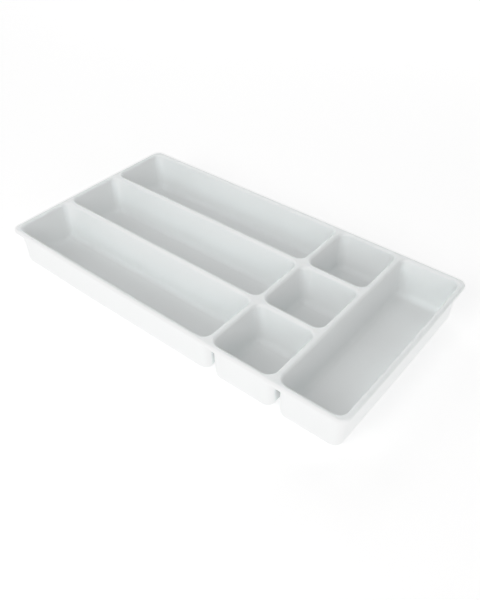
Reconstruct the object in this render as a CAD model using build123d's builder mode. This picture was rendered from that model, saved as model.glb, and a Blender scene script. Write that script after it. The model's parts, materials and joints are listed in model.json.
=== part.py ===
from build123d import *
import os

# Drawer organizer insert: one vacuum-formed tray of white plastic sheet.
# A narrow rim and the tops of the dividers make one deck, and seven drafted bins hang
# below it, with open air between neighbouring bins.  The deck and each bin are written
# as sections of the moulding that meet face to face, level with the rim's lower edge.
#
# Frame: millimetres, +Z up, +X along the long side, -Y is the front.
# The origin is the middle of the tray on the plane that its bins stand on.

# ---- driving dimensions -------------------------------------------------------------
tray_length = 560.0
tray_width = 300.0
tray_height = 62.0
sheet = 2.0
draft_angle = 2.0

rim_width = 8.0
rim_lip = 6.0
rim_corner_radius = 12.0
edge_roll = 3.5

row_divider = 9.0
long_to_small_divider = 9.0
small_to_wide_divider = 10.0
long_bin_length = 357.0
small_bin_length = 86.5

bin_corner_radius = 12.0
floor_radius = 6.0

row_names = ("front", "middle", "rear")

# ---- values that follow from them ---------------------------------------------------
deck_bottom = tray_height - rim_lip
opening_left = rim_width - tray_length / 2
opening_right = tray_length / 2 - rim_width
opening_front = rim_width - tray_width / 2
opening_rear = tray_width / 2 - rim_width
row_depth = (opening_rear - opening_front - 2 * row_divider) / 3
small_bins_left = opening_left + long_bin_length + long_to_small_divider
wide_bin_left = small_bins_left + small_bin_length + small_to_wide_divider


class Opening:
    """The mouth of one bin, measured between its walls where it meets the deck."""

    def __init__(self, name, x_low, x_high, y_low, y_high):
        self.name = name
        self.center = ((x_low + x_high) / 2, (y_low + y_high) / 2)
        self.length = x_high - x_low
        self.depth = y_high - y_low

    def outline(self, growth, mode=Mode.ADD):
        """Draw the mouth in the open sketch, grown outwards on every side."""
        RectangleRounded(
            self.length + 2 * growth,
            self.depth + 2 * growth,
            bin_corner_radius + growth,
            mode=mode,
        )


def lay_out_openings():
    """Three long and three small bins in rows, and the wide bin across all the rows."""
    openings = []
    for row, row_name in enumerate(row_names):
        y_low = opening_front + row * (row_depth + row_divider)
        y_high = y_low + row_depth
        long_right = opening_left + long_bin_length
        small_right = small_bins_left + small_bin_length
        openings.append(Opening("long_bin_" + row_name, opening_left, long_right, y_low, y_high))
        openings.append(Opening("small_bin_" + row_name, small_bins_left, small_right, y_low, y_high))
    openings.append(Opening("wide_bin", wide_bin_left, opening_right, opening_front, opening_rear))
    return openings


def make_deck_plate(openings, growth, length, width, corner_radius, height, edge_radius):
    """A plate with every bin's mouth cut out of it, its top edges rounded over."""
    with BuildPart() as plate:
        with BuildSketch(Plane.XY.offset(deck_bottom)):
            RectangleRounded(length, width, corner_radius)
            for opening in openings:
                with Locations(opening.center):
                    opening.outline(growth, mode=Mode.SUBTRACT)
        extrude(amount=height)
        fillet(plate.edges().group_by(Axis.Z)[-1], radius=edge_radius)
    return plate.part


def make_rim_deck(openings):
    """The rim and divider tops: a sheet rolled down at its outer edge and into each bin."""
    solid_deck = make_deck_plate(
        openings,
        growth=0.0,
        length=tray_length,
        width=tray_width,
        corner_radius=rim_corner_radius,
        height=rim_lip,
        edge_radius=edge_roll,
    )
    hollow_below = make_deck_plate(
        openings,
        growth=sheet,
        length=tray_length - 2 * sheet,
        width=tray_width - 2 * sheet,
        corner_radius=rim_corner_radius - sheet,
        height=rim_lip - sheet,
        edge_radius=edge_roll - sheet,
    )
    with BuildPart() as rim_deck:
        add(solid_deck)
        add(hollow_below, mode=Mode.SUBTRACT)
    return rim_deck.part


def make_bin_form(opening, growth, foot_height, foot_radius):
    """The drafted block that shapes one side of a bin's sheet, rounded at its foot."""
    with BuildPart() as form:
        with BuildSketch(Plane.XY.offset(deck_bottom)):
            with Locations(opening.center):
                opening.outline(growth)
        extrude(amount=foot_height - deck_bottom, taper=draft_angle)
        fillet(form.edges().group_by(Axis.Z)[0], radius=foot_radius)
    return form.part


def make_bin(opening):
    """One drafted bin: four walls and a floor of even sheet, rounded inside and out."""
    outside = make_bin_form(opening, sheet, 0.0, floor_radius + sheet)
    inside = make_bin_form(opening, 0.0, sheet, floor_radius)
    with BuildPart() as tray_bin:
        add(outside)
        add(inside, mode=Mode.SUBTRACT)
    return tray_bin.part


def write_section(section, name):
    """Label one section of the moulding and write it as its own STEP file."""
    section.label = name
    export_step(section, "parts/" + name + ".step")


def main():
    os.makedirs("parts", exist_ok=True)
    openings = lay_out_openings()
    write_section(make_rim_deck(openings), "rim_deck")
    for opening in openings:
        write_section(make_bin(opening), opening.name)


if __name__ == "__main__":
    main()
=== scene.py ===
"""Looks of a drawer organizer tray: one white moulding of seven bins under a narrow rim.

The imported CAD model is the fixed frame.  Every section of the moulding is built here as a
closed shell that stands for its CAD node, and neighbouring sections meet face to face.
Lengths are metres, +Z is up, +X runs along the tray and -Y is its front.
"""

import json
import logging
import math
from dataclasses import dataclass, field
from enum import Enum
from typing import Any, Mapping, Optional, Sequence, Union

import bpy
from mathutils import Euler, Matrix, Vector

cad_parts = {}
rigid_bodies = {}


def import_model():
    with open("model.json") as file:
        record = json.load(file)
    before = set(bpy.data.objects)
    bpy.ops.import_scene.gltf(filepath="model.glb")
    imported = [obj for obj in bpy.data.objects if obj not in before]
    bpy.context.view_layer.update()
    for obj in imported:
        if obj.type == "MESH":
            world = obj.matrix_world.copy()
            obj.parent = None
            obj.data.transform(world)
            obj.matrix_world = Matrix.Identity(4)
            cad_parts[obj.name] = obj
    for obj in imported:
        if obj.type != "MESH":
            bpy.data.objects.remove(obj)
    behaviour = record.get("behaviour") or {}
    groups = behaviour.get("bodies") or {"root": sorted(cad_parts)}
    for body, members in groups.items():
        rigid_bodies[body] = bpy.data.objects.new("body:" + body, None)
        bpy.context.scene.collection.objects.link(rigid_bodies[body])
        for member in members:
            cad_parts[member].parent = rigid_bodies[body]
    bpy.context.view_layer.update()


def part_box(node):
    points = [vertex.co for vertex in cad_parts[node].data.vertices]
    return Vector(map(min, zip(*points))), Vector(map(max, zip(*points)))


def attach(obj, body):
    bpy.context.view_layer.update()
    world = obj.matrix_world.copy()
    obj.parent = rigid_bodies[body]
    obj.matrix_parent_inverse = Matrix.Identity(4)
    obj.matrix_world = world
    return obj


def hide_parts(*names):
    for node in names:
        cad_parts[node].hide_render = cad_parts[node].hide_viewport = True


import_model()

log = logging.getLogger("tray")

MM = 0.001
QUARTER_TURN = math.pi / 2.0
WELD_DISTANCE = 0.01 * MM


class Section(Enum):
    """The named sections of the moulding, each one a CAD node."""

    RIM_DECK = "rim_deck"
    LONG_FRONT = "long_bin_front"
    LONG_MIDDLE = "long_bin_middle"
    LONG_REAR = "long_bin_rear"
    SMALL_FRONT = "small_bin_front"
    SMALL_MIDDLE = "small_bin_middle"
    SMALL_REAR = "small_bin_rear"
    WIDE = "wide_bin"


BIN_SECTIONS = tuple(section for section in Section if section is not Section.RIM_DECK)


# ---- node trees -------------------------------------------------------------------------


class Num:
    """A number that flows through a node tree; arithmetic on it adds Math nodes."""

    def __init__(self, graph: "Graph", socket: bpy.types.NodeSocket) -> None:
        """Wrap one socket of a graph."""
        self.graph = graph
        self.socket = socket

    def _math(self, operation: str, *operands: Any) -> "Num":
        """Add one Math node.

        Args:
            operation: the Math node's operation.
            operands: its inputs in order, as wrapped sockets or plain numbers.

        Returns:
            The node's result, wrapped.
        """
        node = self.graph.add("ShaderNodeMath", {"operation": operation}, dict(enumerate(operands)))
        return Num(self.graph, node.outputs[0])

    def __add__(self, other: Any) -> "Num":
        """This plus other."""
        return self._math("ADD", self, other)

    def __radd__(self, other: Any) -> "Num":
        """Other plus this."""
        return self._math("ADD", other, self)

    def __sub__(self, other: Any) -> "Num":
        """This less other."""
        return self._math("SUBTRACT", self, other)

    def __rsub__(self, other: Any) -> "Num":
        """Other less this."""
        return self._math("SUBTRACT", other, self)

    def __mul__(self, other: Any) -> "Num":
        """This times other."""
        return self._math("MULTIPLY", self, other)

    def __rmul__(self, other: Any) -> "Num":
        """Other times this."""
        return self._math("MULTIPLY", other, self)

    def __truediv__(self, other: Any) -> "Num":
        """This over other."""
        return self._math("DIVIDE", self, other)

    def __rtruediv__(self, other: Any) -> "Num":
        """Other over this."""
        return self._math("DIVIDE", other, self)

    def __neg__(self) -> "Num":
        """This with its sign turned."""
        return self._math("MULTIPLY", self, -1.0)

    def floor(self) -> "Num":
        """The whole number at or under this."""
        return self._math("FLOOR", self)

    def modulo(self, other: Any) -> "Num":
        """What is left of this after whole steps of other."""
        return self._math("MODULO", self, other)

    def at_most(self, other: Any) -> "Num":
        """The smaller of this and other."""
        return self._math("MINIMUM", self, other)

    def at_least(self, other: Any) -> "Num":
        """The larger of this and other."""
        return self._math("MAXIMUM", self, other)

    def absolute(self) -> "Num":
        """This without its sign."""
        return self._math("ABSOLUTE", self)

    def cosine(self) -> "Num":
        """The cosine of this angle."""
        return self._math("COSINE", self)

    def sine(self) -> "Num":
        """The sine of this angle."""
        return self._math("SINE", self)

    def above(self, other: Any) -> "Num":
        """One where this is above other, else nought."""
        return self._math("GREATER_THAN", self, other)

    def smooth_step(self, low: float, high: float) -> "Num":
        """A soft step from nought to one.

        Args:
            low: where the step starts.
            high: where it is complete.

        Returns:
            The step, wrapped.
        """
        node = self.graph.add(
            "ShaderNodeMapRange",
            {"interpolation_type": "SMOOTHSTEP"},
            {"Value": self, "From Min": low, "From Max": high},
        )
        return Num(self.graph, node.outputs[0])


class Graph:
    """Adds nodes to one node tree and links them."""

    def __init__(self, tree: bpy.types.NodeTree) -> None:
        """Work on the given tree."""
        self.tree = tree

    def feed(self, socket: bpy.types.NodeSocket, value: Any) -> None:
        """Link a socket, or give it a plain value.

        Args:
            socket: the input socket.
            value: a wrapped number, an output socket, a list of output sockets for a socket
                that takes several, or the value itself.
        """
        if isinstance(value, Num):
            self.tree.links.new(value.socket, socket)
        elif isinstance(value, bpy.types.NodeSocket):
            self.tree.links.new(value, socket)
        elif isinstance(value, list):
            for each in value:
                self.tree.links.new(each, socket)
        else:
            socket.default_value = value

    def add(
        self,
        kind: str,
        settings: Optional[Mapping[str, Any]] = None,
        inputs: Optional[Mapping[Union[int, str], Any]] = None,
    ) -> bpy.types.Node:
        """Add one node.

        Args:
            kind: the node's type.
            settings: its properties, set first; "items" is how many inputs an Index Switch has.
            inputs: values or links for its sockets, by name or index.

        Returns:
            The new node.
        """
        node = self.tree.nodes.new(kind)
        for name, value in (settings or {}).items():
            if name == "items":
                while len(node.index_switch_items) < value:
                    node.index_switch_items.new()
            else:
                setattr(node, name, value)
        for name, value in (inputs or {}).items():
            self.feed(node.inputs[name], value)
        return node

    def number(self, node: bpy.types.Node, output: Union[int, str] = 0) -> Num:
        """Wrap one output of a node."""
        return Num(self, node.outputs[output])

    def vector(self, x: Any, y: Any, z: Any) -> bpy.types.NodeSocket:
        """A vector of three numbers."""
        return self.add("ShaderNodeCombineXYZ", inputs={"X": x, "Y": y, "Z": z}).outputs[0]

    def split(self, socket: bpy.types.NodeSocket) -> tuple[Num, Num, Num]:
        """The three numbers of a vector."""
        node = self.add("ShaderNodeSeparateXYZ", inputs={0: socket})
        return tuple(Num(self, output) for output in node.outputs)


class GeometryTree(Graph):
    """A Geometry Nodes tree with named inputs and one geometry output."""

    def __init__(self, name: str, inputs: Mapping[str, str]) -> None:
        """Start a tree.

        Args:
            name: the tree's name.
            inputs: its inputs in order, each name with the kind of socket it is.
        """
        super().__init__(bpy.data.node_groups.new(name, "GeometryNodeTree"))
        self.ids = {}
        for label, kind in inputs.items():
            socket = self.tree.interface.new_socket(label, in_out="INPUT", socket_type="NodeSocket" + kind)
            self.ids[label] = socket.identifier
        self.tree.interface.new_socket("Geometry", in_out="OUTPUT", socket_type="NodeSocketGeometry")
        self.entry = self.add("NodeGroupInput")

    def given(self, label: str) -> bpy.types.NodeSocket:
        """One of the tree's inputs as a socket."""
        return self.entry.outputs[label]

    def size(self, label: str) -> Num:
        """One of the tree's inputs as a number."""
        return Num(self, self.entry.outputs[label])

    def use(self, other: "GeometryTree", inputs: Mapping[str, Any]) -> bpy.types.NodeSocket:
        """Use another tree as a node of this one.

        Args:
            other: the tree to use.
            inputs: values or links for its inputs.

        Returns:
            Its geometry.
        """
        return self.add("GeometryNodeGroup", {"node_tree": other.tree}, inputs).outputs[0]

    def index(self) -> Num:
        """The running number of each point."""
        return self.number(self.add("GeometryNodeInputIndex"))

    def place(self) -> tuple[Num, Num, Num]:
        """The place of each point."""
        return self.split(self.add("GeometryNodeInputPosition").outputs[0])

    def join(self, parts: Sequence[bpy.types.NodeSocket]) -> bpy.types.NodeSocket:
        """Several meshes as one, with points at the same place made one.

        Args:
            parts: the meshes.

        Returns:
            The joined mesh.
        """
        joined = self.add("GeometryNodeJoinGeometry", inputs={0: list(parts)}).outputs[0]
        return self.weld(joined)

    def weld(self, mesh: bpy.types.NodeSocket) -> bpy.types.NodeSocket:
        """A mesh with points at the same place made one."""
        welded = self.add("GeometryNodeMergeByDistance", inputs={"Geometry": mesh, "Distance": WELD_DISTANCE})
        return welded.outputs[0]

    def flip(self, mesh: bpy.types.NodeSocket) -> bpy.types.NodeSocket:
        """A mesh with its faces turned over."""
        return self.add("GeometryNodeFlipFaces", inputs={"Mesh": mesh}).outputs[0]

    def move(self, mesh: bpy.types.NodeSocket, x: Any, y: Any, z: Any) -> bpy.types.NodeSocket:
        """A mesh moved by an offset."""
        offset = self.vector(x, y, z)
        return self.add("GeometryNodeSetPosition", inputs={"Geometry": mesh, "Offset": offset}).outputs[0]

    def profile(self, points: Sequence[tuple[Any, Any, Any]], steps: int) -> bpy.types.NodeSocket:
        """A cross-section line with rounded corners.

        Args:
            points: for each corner, how far it stands out from the ring, its height, and
                the radius that rounds it, nought for a plain point.
            steps: how many pieces a rounded corner is made of.

        Returns:
            The line as a curve whose X is the offset and whose Z is the height.
        """
        count = len(points)
        places = {str(i): self.vector(out, 0.0, up) for i, (out, up, _) in enumerate(points)}
        radii = {str(i): rounding for i, (_, _, rounding) in enumerate(points)}
        place = self.add(
            "GeometryNodeIndexSwitch",
            {"data_type": "VECTOR", "items": count},
            {"Index": self.index(), **places},
        )
        radius = self.add(
            "GeometryNodeIndexSwitch",
            {"data_type": "FLOAT", "items": count},
            {"Index": self.index(), **radii},
        )
        line = self.add("GeometryNodeMeshLine", inputs={"Count": count})
        laid = self.add(
            "GeometryNodeSetPosition", inputs={"Geometry": line.outputs[0], "Position": place.outputs[0]}
        )
        curve = self.add("GeometryNodeMeshToCurve", inputs={"Mesh": laid.outputs[0]})
        rounded = self.add(
            "GeometryNodeFilletCurve",
            {"mode": "POLY"},
            {"Curve": curve.outputs[0], "Count": steps, "Radius": radius.outputs[0]},
        )
        return rounded.outputs[0]

    def finish(self, mesh: bpy.types.NodeSocket) -> None:
        """End the tree in plain meshes with their material."""
        real = self.add("GeometryNodeRealizeInstances", inputs={"Geometry": mesh})
        dressed = self.add(
            "GeometryNodeSetMaterial",
            inputs={"Geometry": real.outputs[0], "Material": self.given("Material")},
        )
        self.end(dressed.outputs[0])

    def end(self, mesh: bpy.types.NodeSocket) -> None:
        """Send a mesh to the tree's output."""
        self.add("NodeGroupOutput", inputs={0: mesh})


# ---- how the sheet is formed ------------------------------------------------------------


@dataclass(frozen=True)
class SheetRule:
    """Sizes that the whole moulding shares."""

    thickness: float = 2.0 * MM
    draft: float = math.tan(math.radians(2.0))
    edge_roll: float = 3.5 * MM
    mouth_roll: float = 4.2 * MM
    flat_band: float = 0.1 * MM
    trim_radius: float = 0.5 * MM
    mouth_radius: float = 12.0 * MM
    rim_radius: float = 12.0 * MM
    floor_radius: float = 9.0 * MM
    seam_band: float = 1.0 * MM
    floor_start: float = 0.95
    low_course: float = 0.4
    high_course: float = 0.7
    corner_steps: int = 12
    side_steps: int = 28
    fillet_steps: int = 8
    side_bow: float = 2.2 * MM
    end_bow: float = 1.0 * MM
    waviness: float = 0.5 * MM
    wave_scale: float = 9.0
    wave_seed: float = 3.7


@dataclass(frozen=True)
class Mouth:
    """The opening of one bin between its walls, level with the rim's lower edge."""

    center: Vector
    length: float
    depth: float

    @classmethod
    def of(cls, section: Section, rule: SheetRule) -> "Mouth":
        """Read a bin's mouth from its CAD node.

        Args:
            section: the bin.
            rule: the sheet's sizes.

        Returns:
            The mouth.
        """
        low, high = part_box(section.value)
        middle = (low + high) / 2.0
        size = high - low
        return cls(
            center=Vector((middle.x, middle.y, 0.0)),
            length=size.x - 2.0 * rule.thickness,
            depth=size.y - 2.0 * rule.thickness,
        )


class SweepTree(GeometryTree):
    """Carries a cross-section around a rounded rectangle, as a forming tool's edge runs."""

    def __init__(self) -> None:
        """Build the tree."""
        super().__init__(
            "sweep_around_mouth",
            {
                "Profile": "Geometry",
                "Center": "Vector",
                "Length": "Float",
                "Depth": "Float",
                "Corner Radius": "Float",
                "Corner Steps": "Int",
                "Side Steps": "Int",
            },
        )
        corner, side = self.size("Corner Steps"), self.size("Side Steps")
        radius = self.size("Corner Radius")
        around = 4.0 * (corner + side)
        line_size = self.add(
            "GeometryNodeAttributeDomainSize", {"component": "CURVE"}, {"Geometry": self.given("Profile")}
        )
        along = self.number(line_size, "Point Count")
        grid = self.add("GeometryNodeMeshGrid", inputs={"Vertices X": around + 1.0, "Vertices Y": along})
        column = (self.index() / along).floor()
        row = self.index().modulo(along)
        quarter = (column / (corner + side)).floor()
        step = column.modulo(corner + side)
        turn = QUARTER_TURN * (quarter + (step / corner).at_most(1.0))
        slide = (step - corner).at_least(0.0) / side
        spot = self.add(
            "GeometryNodeSampleIndex",
            {"data_type": "FLOAT_VECTOR", "domain": "POINT"},
            {
                "Geometry": self.given("Profile"),
                "Value": self.add("GeometryNodeInputPosition").outputs[0],
                "Index": row,
            },
        )
        out, _, up = self.split(spot.outputs[0])
        reach = radius + out
        half_x, half_y = self.size("Length") / 2.0 - radius, self.size("Depth") / 2.0 - radius
        x = self._corner(quarter, slide, half_x, Num.cosine) + reach * turn.cosine()
        y = self._corner(quarter, slide, half_y, Num.sine) + reach * turn.sine()
        middle_x, middle_y, _ = self.split(self.given("Center"))
        swept = self.add(
            "GeometryNodeSetPosition",
            inputs={"Geometry": grid.outputs[0], "Position": self.vector(x + middle_x, y + middle_y, up)},
        )
        self.end(self.weld(swept.outputs[0]))

    @staticmethod
    def _corner(quarter: Num, slide: Num, reach: Num, wave: Any) -> Num:
        """Where the arc's centre is, sliding from one corner to the next.

        Args:
            quarter: which corner, counted round from +X +Y.
            slide: how far the point is along the side to the next corner.
            reach: how far the arcs' centres are from the middle on this axis.
            wave: the cosine for X, the sine for Y.

        Returns:
            The centre's place on this axis.
        """
        here = wave((quarter + 0.5) * QUARTER_TURN)
        there = wave((quarter + 1.5) * QUARTER_TURN)
        return math.sqrt(2.0) * reach * (here + slide * (there - here))


class FormingTree(GeometryTree):
    """Pulls a mesh slightly out of true, as a sheet goes when it cools off its mould."""

    def __init__(self) -> None:
        """Build the tree."""
        super().__init__(
            "cooling_pull",
            {
                "Mesh": "Geometry",
                "Half Size": "Vector",
                "Height": "Float",
                "Side Bow": "Float",
                "End Bow": "Float",
                "Waviness": "Float",
                "Wave Scale": "Float",
                "Seed": "Float",
            },
        )
        x, y, z = self.place()
        half_x, half_y, _ = self.split(self.given("Half Size"))
        smoothness = 1.0
        wave = self.number(
            self.add(
                "ShaderNodeTexNoise",
                {"noise_dimensions": "4D"},
                {"Scale": self.given("Wave Scale"), "W": self.given("Seed"), "Detail": smoothness},
            )
        )
        pull = wave * self.size("Waviness")
        share_x, share_y, share_z = x / half_x, y / half_y, z / self.size("Height")
        front_share, rear_share = 1.0, 0.2
        toward_rear = (share_y + 1.0) / 2.0
        side = self.size("Side Bow") * (front_share + (rear_share - front_share) * toward_rear)
        side_pull = pull + side * share_x * share_x
        end_pull = pull + self.size("End Bow") * share_y * share_y
        moved = self.move(
            self.given("Mesh"), -(share_x * end_pull), -(share_y * side_pull), pull * (1.0 - 2.0 * share_z)
        )
        self.end(moved)


SHAPE_INPUTS = {
    "Half Size": "Vector",
    "Height": "Float",
    "Seam Height": "Float",
    "Sheet": "Float",
    "Draft": "Float",
    "Mouth Radius": "Float",
    "Corner Steps": "Int",
    "Side Steps": "Int",
    "Side Bow": "Float",
    "End Bow": "Float",
    "Waviness": "Float",
    "Wave Scale": "Float",
    "Seed": "Float",
    "Material": "Material",
}
PULL_INPUTS = ("Half Size", "Height", "Side Bow", "End Bow", "Waviness", "Wave Scale", "Seed")


class BinTree(GeometryTree):
    """One drafted bin: outer wall, seam, inner wall, and the two faces of its floor."""

    def __init__(self, sweep: SweepTree, forming: FormingTree, rule: SheetRule) -> None:
        """Build the tree.

        Args:
            sweep: the tree that carries a section around the mouth.
            forming: the tree that pulls the mesh out of true.
            rule: the sheet's sizes.
        """
        super().__init__(
            "formed_bin",
            {
                "Center": "Vector",
                "Length": "Float",
                "Depth": "Float",
                "Floor Radius": "Float",
                **SHAPE_INPUTS,
            },
        )
        sheet, top, radius = self.size("Sheet"), self.size("Seam Height"), self.size("Mouth Radius")
        floor_radius = self.size("Floor Radius")
        band = rule.seam_band
        floor_start = -radius * rule.floor_start
        low, high = top * rule.low_course, top * rule.high_course
        outside = [
            (-radius, 0.0, 0.0),
            (floor_start, 0.0, 0.0),
            self._on_wall(sheet, 0.0, floor_radius + sheet),
            self._on_wall(sheet, floor_radius + sheet + band, 0.0),
            self._on_wall(sheet, low, 0.0),
            self._on_wall(sheet, high, 0.0),
            self._on_wall(sheet, top - band, 0.0),
            self._on_wall(sheet, top, 0.0),
        ]
        inside = [
            self._on_wall(0.0, top, 0.0),
            self._on_wall(0.0, top - band, 0.0),
            self._on_wall(0.0, high, 0.0),
            self._on_wall(0.0, low, 0.0),
            self._on_wall(0.0, floor_radius + sheet + band, 0.0),
            self._on_wall(0.0, sheet, floor_radius),
            (floor_start, sheet, 0.0),
            (-radius, sheet, 0.0),
        ]
        walls = self.use(
            sweep,
            {
                "Profile": self.profile(outside + inside, rule.fillet_steps),
                "Center": self.given("Center"),
                "Length": self.given("Length"),
                "Depth": self.given("Depth"),
                "Corner Radius": radius,
                "Corner Steps": self.given("Corner Steps"),
                "Side Steps": self.given("Side Steps"),
            },
        )
        middle_x, middle_y, _ = self.split(self.given("Center"))
        count = self.size("Side Steps") + 1.0
        floor = self.add(
            "GeometryNodeMeshGrid",
            inputs={
                "Size X": self.size("Length") - 2.0 * radius,
                "Size Y": self.size("Depth") - 2.0 * radius,
                "Vertices X": count,
                "Vertices Y": count,
            },
        ).outputs[0]
        upper = self.move(floor, middle_x, middle_y, sheet)
        lower = self.flip(self.move(floor, middle_x, middle_y, 0.0))
        shell = self.join([walls, upper, lower])
        pull = {label: self.given(label) for label in PULL_INPUTS}
        self.finish(self.use(forming, {"Mesh": shell, **pull}))

    def _on_wall(self, out: Any, height: Any, radius: Any) -> tuple[Any, Any, Any]:
        """A corner of the section that lies on a drafted wall.

        Args:
            out: how far the wall stands out at the seam.
            height: the corner's height.
            radius: what rounds it.

        Returns:
            The corner's offset, height and radius.
        """
        lean = (self.size("Seam Height") - height) * self.size("Draft")
        return (out - lean, height, radius)


class DeckTree(GeometryTree):
    """The rim and divider tops: collars rolled into every mouth, and the rolled outer lip."""

    def __init__(
        self, sweep: SweepTree, forming: FormingTree, rule: SheetRule, mouths: Sequence[str]
    ) -> None:
        """Build the tree.

        Args:
            sweep: the tree that carries a section around a mouth.
            forming: the tree that pulls the mesh out of true.
            rule: the sheet's sizes.
            mouths: a name for each mouth.
        """
        mouth_inputs = {}
        for name in mouths:
            mouth_inputs[name + " Center"] = "Vector"
            mouth_inputs[name + " Length"] = "Float"
            mouth_inputs[name + " Depth"] = "Float"
        super().__init__(
            "rim_and_dividers",
            {
                "Rim Radius": "Float",
                "Edge Roll": "Float",
                "Mouth Roll": "Float",
                "Trim Radius": "Float",
                **mouth_inputs,
                **SHAPE_INPUTS,
            },
        )
        steps = {"Corner Steps": self.given("Corner Steps"), "Side Steps": self.given("Side Steps")}
        collar = self.profile(self._collar_points(rule), rule.fillet_steps)
        half_x, half_y, _ = self.split(self.given("Half Size"))
        bands = [
            self.use(
                sweep,
                {
                    "Profile": self.profile(self._lip_points(rule), rule.fillet_steps),
                    "Length": half_x * 2.0,
                    "Depth": half_y * 2.0,
                    "Corner Radius": self.given("Rim Radius"),
                    **steps,
                },
            )
        ]
        for name in mouths:
            bands.append(
                self.use(
                    sweep,
                    {
                        "Profile": collar,
                        "Center": self.given(name + " Center"),
                        "Length": self.given(name + " Length"),
                        "Depth": self.given(name + " Depth"),
                        "Corner Radius": self.given("Mouth Radius"),
                        **steps,
                    },
                )
            )
        joined = self.join(bands)
        top, sheet = self.size("Height"), self.size("Sheet")
        upper = self._fill(joined, top)
        lower = self.flip(self._fill(joined, top - sheet))
        shell = self.join([joined, upper, lower])
        pull = {label: self.given(label) for label in PULL_INPUTS}
        self.finish(self.use(forming, {"Mesh": shell, **pull}))

    def _collar_points(self, rule: SheetRule) -> list[tuple[Any, Any, Any]]:
        """The section of a collar, from the deck's top over the roll and back underneath.

        Args:
            rule: the sheet's sizes.

        Returns:
            The section's corners.
        """
        top, seam, sheet = self.size("Height"), self.size("Seam Height"), self.size("Sheet")
        draft, roll = self.size("Draft"), self.size("Mouth Roll")
        flat = roll + rule.flat_band
        return [
            (flat, top, 0.0),
            ((top - seam) * draft, top, roll),
            (rule.seam_band * draft, seam + rule.seam_band, 0.0),
            (0.0, seam, 0.0),
            (sheet, seam, 0.0),
            (sheet + rule.seam_band * draft, seam + rule.seam_band, 0.0),
            (sheet + (top - sheet - seam) * draft, top - sheet, roll - sheet),
            (flat, top - sheet, 0.0),
        ]

    def _lip_points(self, rule: SheetRule) -> list[tuple[Any, Any, Any]]:
        """The section of the outer lip, from the deck's underside round the trimmed edge.

        Args:
            rule: the sheet's sizes.

        Returns:
            The section's corners.
        """
        top, seam, sheet = self.size("Height"), self.size("Seam Height"), self.size("Sheet")
        roll, trim = self.size("Edge Roll"), self.size("Trim Radius")
        flat = roll + rule.flat_band
        return [
            (-flat, top - sheet, 0.0),
            (-sheet, top - sheet, roll - sheet),
            (-sheet, seam + rule.seam_band, 0.0),
            (-sheet, seam, trim),
            (0.0, seam, trim),
            (0.0, seam + rule.seam_band, 0.0),
            (0.0, top, roll),
            (-flat, top, 0.0),
        ]

    def _fill(self, bands: bpy.types.NodeSocket, level: Num) -> bpy.types.NodeSocket:
        """Close the flat between the collars and the lip at one level.

        Args:
            bands: the joined collars and lip.
            level: the height of the flat.

        Returns:
            The flat, facing up.
        """
        neighbours = self.number(self.add("GeometryNodeInputMeshEdgeNeighbors"))
        _, _, z = self.place()
        single_face, tolerance = 1.5, 0.05 * MM
        open_edge = (single_face - neighbours).above(0.0)
        at_level = (tolerance - (z - level).absolute()).above(0.0)
        wanted = open_edge * at_level
        edges = self.add("GeometryNodeMeshToCurve", inputs={"Mesh": bands, "Selection": wanted})
        flat = self.add("GeometryNodeFillCurve", {"mode": "TRIANGLES"}, {"Curve": edges.outputs[0]})
        return self.move(flat.outputs[0], 0.0, 0.0, level)


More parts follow.
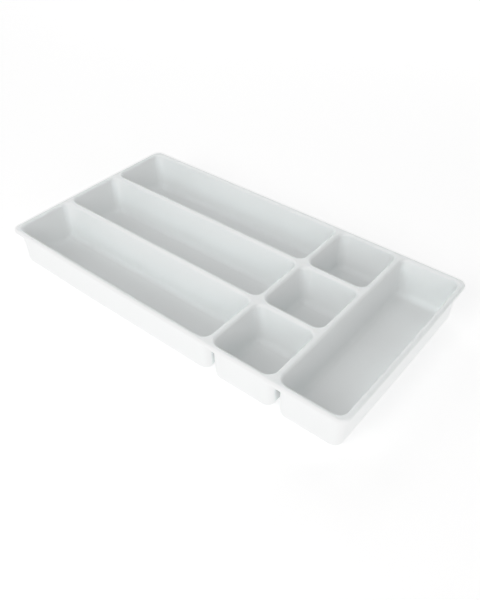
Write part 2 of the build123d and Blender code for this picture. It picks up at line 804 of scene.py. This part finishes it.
@dataclass
class Moulding:
    """The eight sections of the tray, built to one rule and dressed in one finish."""

    rule: SheetRule = field(default_factory=SheetRule)
    smooth_below: float = math.radians(40.0)

    def build(self, plastic: bpy.types.Material) -> list[bpy.types.Object]:
        """Build every section.

        Args:
            plastic: the tray's material.

        Returns:
            The pieces, the rim first.
        """
        sweep, forming = SweepTree(), FormingTree()
        bin_tree = BinTree(sweep, forming, self.rule)
        deck_tree = DeckTree(sweep, forming, self.rule, [section.value for section in BIN_SECTIONS])
        shared = self._shared_values(plastic)
        pieces = [self._make(Section.RIM_DECK, deck_tree, {**shared, **self._deck_values()})]
        for section in BIN_SECTIONS:
            mouth = Mouth.of(section, self.rule)
            values = {
                "Center": mouth.center,
                "Length": mouth.length,
                "Depth": mouth.depth,
                "Floor Radius": self.rule.floor_radius,
            }
            pieces.append(self._make(section, bin_tree, {**shared, **values}))
        return pieces

    def _shared_values(self, plastic: bpy.types.Material) -> dict[str, Any]:
        """The inputs that every section's tree takes.

        Args:
            plastic: the tray's material.

        Returns:
            Values by input name.
        """
        low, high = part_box(Section.RIM_DECK.value)
        rule = self.rule
        return {
            "Half Size": (high - low) / 2.0,
            "Height": high.z,
            "Seam Height": low.z,
            "Sheet": rule.thickness,
            "Draft": rule.draft,
            "Mouth Radius": rule.mouth_radius,
            "Corner Steps": rule.corner_steps,
            "Side Steps": rule.side_steps,
            "Side Bow": rule.side_bow,
            "End Bow": rule.end_bow,
            "Waviness": rule.waviness,
            "Wave Scale": rule.wave_scale,
            "Seed": rule.wave_seed,
            "Material": plastic,
        }

    def _deck_values(self) -> dict[str, Any]:
        """The rim's own inputs, with every mouth's place and size.

        Returns:
            Values by input name.
        """
        rule = self.rule
        values = {
            "Rim Radius": rule.rim_radius,
            "Edge Roll": rule.edge_roll,
            "Mouth Roll": rule.mouth_roll,
            "Trim Radius": rule.trim_radius,
        }
        for section in BIN_SECTIONS:
            mouth = Mouth.of(section, rule)
            values[section.value + " Center"] = mouth.center
            values[section.value + " Length"] = mouth.length
            values[section.value + " Depth"] = mouth.depth
        return values

    def _make(self, section: Section, tree: GeometryTree, values: Mapping[str, Any]) -> bpy.types.Object:
        """Run a tree and keep its result as a plain piece that stands for a CAD node.

        Args:
            section: the section to make.
            tree: its tree.
            values: the tree's inputs by name.

        Returns:
            The finished piece.
        """
        name = section.value + "_sheet"
        piece = bpy.data.objects.new(name, bpy.data.meshes.new(name))
        bpy.context.scene.collection.objects.link(piece)
        modifier = piece.modifiers.new("formed", "NODES")
        modifier.node_group = tree.tree
        for label, value in values.items():
            modifier[tree.ids[label]] = value
        depsgraph = bpy.context.evaluated_depsgraph_get()
        mesh = bpy.data.meshes.new_from_object(piece.evaluated_get(depsgraph), depsgraph=depsgraph)
        piece.modifiers.remove(modifier)
        mesh.name = name
        piece.data = mesh
        mesh.shade_smooth()
        mesh.set_sharp_from_angle(angle=self.smooth_below)
        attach(piece, "root")
        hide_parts(section.value)
        return piece


# ---- finishes ---------------------------------------------------------------------------


def new_material(name: str) -> tuple[bpy.types.Material, Graph]:
    """Start an empty node material.

    Args:
        name: the material's name.

    Returns:
        The material, and the graph of its tree.
    """
    material = bpy.data.materials.new(name)
    material.use_nodes = True
    material.node_tree.nodes.clear()
    return material, Graph(material.node_tree)


@dataclass(frozen=True)
class TrayPlastic:
    """White styrene sheet: satin, with the grain and slow waves that forming leaves, and a colour that grows
    darker towards the bin floors, partly for the thinner drawn sheet there and partly as painted shade.
    """

    name: str = "tray_plastic"
    base: tuple[float, float, float, float] = (0.875, 0.895, 0.896, 1.0)
    # slightly darker colour towards the bottom: partly the thinner drawn sheet, partly painted shade on the
    # bin floors
    drawn: tuple[float, float, float, float] = (0.862, 0.884, 0.884, 1.0)
    index: float = 1.5
    roughness: float = 0.7
    roughness_swing: float = 0.10
    thin_share: float = 0.7
    cloud_share: float = 0.3
    cloud_scale: float = 14.0
    cloud_detail: float = 3.0
    patch_scale: float = 55.0
    patch_detail: float = 4.0
    grain_scale: float = 1400.0
    grain_detail: float = 2.0
    grain_depth: float = 0.012 * MM
    ripple_scale: float = 32.0
    ripple_detail: float = 1.0
    ripple_depth: float = 0.22 * MM
    drawn_height: float = 50.0 * MM
    scuff_scale: float = 260.0
    scuff_detail: float = 3.0
    scuff_break_up: float = 0.6
    scuff_stretch: tuple[float, float, float] = (0.12, 1.0, 1.0)
    scuff_turn: tuple[float, float, float] = (0.0, 0.0, math.radians(10.0))
    scuff_start: float = 0.62
    scuff_full: float = 0.74
    scuff_dulling: float = 0.08
    scuff_depth: float = 0.5
    scuff_height: float = 6.0 * MM

    def build(self) -> bpy.types.Material:
        """Make the material.

        Returns:
            The material.
        """
        material, graph = new_material(self.name)
        place = graph.add("ShaderNodeTexCoord").outputs["Object"]
        _, _, height = graph.split(place)
        clouds = self._noise(graph, place, self.cloud_scale, self.cloud_detail)
        # darker towards the bottom, partly for the thinner drawn sheet and partly as painted shade in the
        # bins, mixed with random mottling
        thin_and_shade = (1.0 - height / self.drawn_height).at_least(0.0).at_most(1.0)
        thinning_shade_and_mottle = thin_and_shade * self.thin_share + clouds * self.cloud_share
        colour = graph.add(
            "ShaderNodeMix",
            {"data_type": "RGBA"},
            {"Factor": thinning_shade_and_mottle, "A": self.base, "B": self.drawn},
        )
        scuffs = self._scuffs(graph, place, height)
        patches = self._noise(graph, place, self.patch_scale, self.patch_detail)
        swing = self.roughness_swing * (patches - 0.5)
        gloss = self.roughness + swing + self.scuff_dulling * scuffs
        ripple = self._noise(graph, place, self.ripple_scale, self.ripple_detail)
        slow = graph.add(
            "ShaderNodeBump",
            inputs={"Strength": 1.0, "Distance": self.ripple_depth, "Height": ripple},
        )
        grain = self._noise(graph, place, self.grain_scale, self.grain_detail)
        fine = graph.add(
            "ShaderNodeBump",
            inputs={
                "Strength": 1.0,
                "Distance": self.grain_depth,
                "Height": grain - self.scuff_depth * scuffs,
                "Normal": slow.outputs[0],
            },
        )
        shader = graph.add(
            "ShaderNodeBsdfPrincipled",
            inputs={
                "Base Color": self._colour_of(colour),
                "Roughness": gloss,
                "IOR": self.index,
                "Normal": fine.outputs[0],
            },
        )
        graph.add("ShaderNodeOutputMaterial", inputs={"Surface": shader.outputs[0]})
        return material

    @staticmethod
    def _noise(
        graph: Graph, place: bpy.types.NodeSocket, scale: float, detail: float, break_up: float = 0.5
    ) -> Num:
        """Smooth noise over the surface.

        Args:
            graph: the material's graph.
            place: the coordinates to read.
            scale: how fine it is.
            detail: how many finer layers it has.
            break_up: how strong the finer layers are.

        Returns:
            The noise, around a half.
        """
        inputs = {"Vector": place, "Scale": scale, "Detail": detail, "Roughness": break_up}
        return graph.number(graph.add("ShaderNodeTexNoise", inputs=inputs))

    @staticmethod
    def _colour_of(node: bpy.types.Node) -> bpy.types.NodeSocket:
        """The colour output of a Mix node."""
        return next(output for output in node.outputs if output.type == "RGBA")

    def _scuffs(self, graph: Graph, place: bpy.types.NodeSocket, height: Num) -> Num:
        """Faint marks that things sliding in the bins leave on the floors.

        Args:
            graph: the material's graph.
            place: the object coordinates.
            height: their Z.

        Returns:
            The marks, nought to one.
        """
        stretched = graph.add(
            "ShaderNodeMapping",
            inputs={"Vector": place, "Scale": self.scuff_stretch, "Rotation": self.scuff_turn},
        )
        marks = self._noise(
            graph, stretched.outputs[0], self.scuff_scale, self.scuff_detail, self.scuff_break_up
        )
        low = 1.0 - height.smooth_step(self.scuff_height / 2.0, self.scuff_height)
        return marks.smooth_step(self.scuff_start, self.scuff_full) * low


@dataclass(frozen=True)
class StudioPaper:
    """The plain pale floor that the tray stands on."""

    name: str = "studio_paper"
    base: tuple[float, float, float, float] = (0.93, 0.93, 0.93, 1.0)
    roughness: float = 0.8
    glow: float = 0.43

    def build(self) -> bpy.types.Material:
        """Make the material.

        Returns:
            The material.
        """
        material, graph = new_material(self.name)
        shader = graph.add(
            "ShaderNodeBsdfPrincipled",
            inputs={
                "Base Color": self.base,
                "Roughness": self.roughness,
                "Emission Color": self.base,
                "Emission Strength": self.glow,
            },
        )
        graph.add("ShaderNodeOutputMaterial", inputs={"Surface": shader.outputs[0]})
        return material


# ---- studio and camera ------------------------------------------------------------------

WARM_WHITE = (1.0, 0.985, 0.98)


@dataclass(frozen=True)
class SoftLight:
    """One large soft lamp, aimed at the tray from a bearing and a height."""

    name: str
    bearing: float
    climb: float
    power: float
    colour: tuple[float, float, float] = (1.0, 1.0, 1.0)
    reach: float = 3.0
    lift: float = 0.3
    size: float = 1.6

    def build(self) -> bpy.types.Object:
        """Make the lamp.

        Returns:
            The lamp's object.
        """
        data = bpy.data.lights.new(self.name, "AREA")
        data.shape = "DISK"
        data.size = self.size
        data.energy = self.power
        data.color = self.colour
        lamp = bpy.data.objects.new(self.name, data)
        bearing, climb = math.radians(self.bearing), math.radians(self.climb)
        out = self.reach * math.cos(climb)
        up = self.reach * math.sin(climb) + self.lift
        place = Vector((out * math.cos(bearing), out * math.sin(bearing), up))
        lamp.location = place
        lamp.rotation_euler = (-place).to_track_quat("-Z", "Y").to_euler()
        bpy.context.scene.collection.objects.link(lamp)
        return lamp


@dataclass
class Studio:
    """A plain pale floor under plain soft light."""

    floor_size: float = 12.0
    sky_colour: tuple[float, float, float, float] = (1.0, 1.0, 1.0, 1.0)
    sky_strength: float = 0.29
    lamps: tuple[SoftLight, ...] = (
        SoftLight("front_light", 270.0, 32.0, 16.0, WARM_WHITE),
        SoftLight("front_low_light", 270.0, 10.0, 2.5, WARM_WHITE),
        SoftLight("front_top_light", 270.0, 55.0, 6.5),
        SoftLight("front_near_light", 272.0, 26.0, 3.0, WARM_WHITE, reach=1.4, size=0.8),
        SoftLight("front_left_near_light", 250.0, 12.0, 0.5, WARM_WHITE, reach=1.2, size=0.6),
        SoftLight("front_right_light", 315.0, 10.0, 12.0, WARM_WHITE),
        SoftLight("right_light", 0.0, 10.0, 8.0, WARM_WHITE),
        SoftLight("rear_light", 90.0, 10.0, 16.0),
        SoftLight("rear_top_light", 90.0, 55.0, 8.0),
        SoftLight("rear_left_light", 135.0, 32.0, 13.0),
        SoftLight("rear_left_low_light", 135.0, 10.0, 3.5),
        SoftLight("left_light", 180.0, 32.0, 7.0),
    )

    def build(self) -> None:
        """Lay the floor, and set up the sky and the lamps."""
        half = self.floor_size / 2.0
        mesh = bpy.data.meshes.new("studio_floor")
        corners = [(-half, -half, 0.0), (half, -half, 0.0), (half, half, 0.0), (-half, half, 0.0)]
        mesh.from_pydata(corners, [], [(0, 1, 2, 3)])
        mesh.materials.append(StudioPaper().build())
        floor = bpy.data.objects.new("studio_floor", mesh)
        bpy.context.scene.collection.objects.link(floor)
        world = bpy.data.worlds.new("studio_sky")
        world.use_nodes = True
        world.node_tree.nodes.clear()
        graph = Graph(world.node_tree)
        sky = graph.add(
            "ShaderNodeBackground", inputs={"Color": self.sky_colour, "Strength": self.sky_strength}
        )
        graph.add("ShaderNodeOutputWorld", inputs={"Surface": sky.outputs[0]})
        bpy.context.scene.world = world
        for lamp in self.lamps:
            lamp.build()
            log.info("lamp %s of %.1f W", lamp.name, lamp.power)


@dataclass
class Viewpoint:
    """The camera, in front of the tray's right end and well above it."""

    place: tuple[float, float, float] = (0.4564, -0.534, 0.585)
    yaw: float = math.radians(39.15)
    pitch: float = math.radians(40.8)
    lens: float = 38.75
    sensor: float = 36.0

    def build(self) -> None:
        """Make the camera and choose it."""
        data = bpy.data.cameras.new("studio_camera")
        data.lens = self.lens
        data.sensor_width = self.sensor
        camera = bpy.data.objects.new("studio_camera", data)
        camera.location = self.place
        camera.rotation_euler = Euler((math.radians(90.0) - self.pitch, 0.0, self.yaw))
        bpy.context.scene.collection.objects.link(camera)
        bpy.context.scene.camera = camera


@dataclass(frozen=True)
class ToneCurve:
    """How light becomes tone: straight through the greys, then a soft shoulder up to white."""

    points: tuple[tuple[float, float], ...] = ((0.4, 0.42), (0.6, 0.6), (0.8, 0.84), (1.0, 0.915))
    white: float = 1.15

    def apply(self) -> None:
        """Set the scene's view to this curve."""
        view = bpy.context.scene.view_settings
        view.view_transform = "Standard"
        view.use_curve_mapping = True
        mapping = view.curve_mapping
        mapping.clip_max_x = self.white
        curve = mapping.curves[-1]
        curve.points[-1].location = (self.white, 1.0)
        for light, tone in self.points:
            curve.points.new(light, tone)
        mapping.update()


def main() -> None:
    """Build the tray, the studio and the camera, and report each piece."""
    logging.basicConfig(level=logging.INFO, format="%(name)s: %(message)s")
    pieces = Moulding().build(TrayPlastic().build())
    for piece in pieces:
        log.info("piece %s: %d faces", piece.name, len(piece.data.polygons))
    Studio().build()
    Viewpoint().build()
    ToneCurve().apply()


if __name__ == "__main__":
    main()
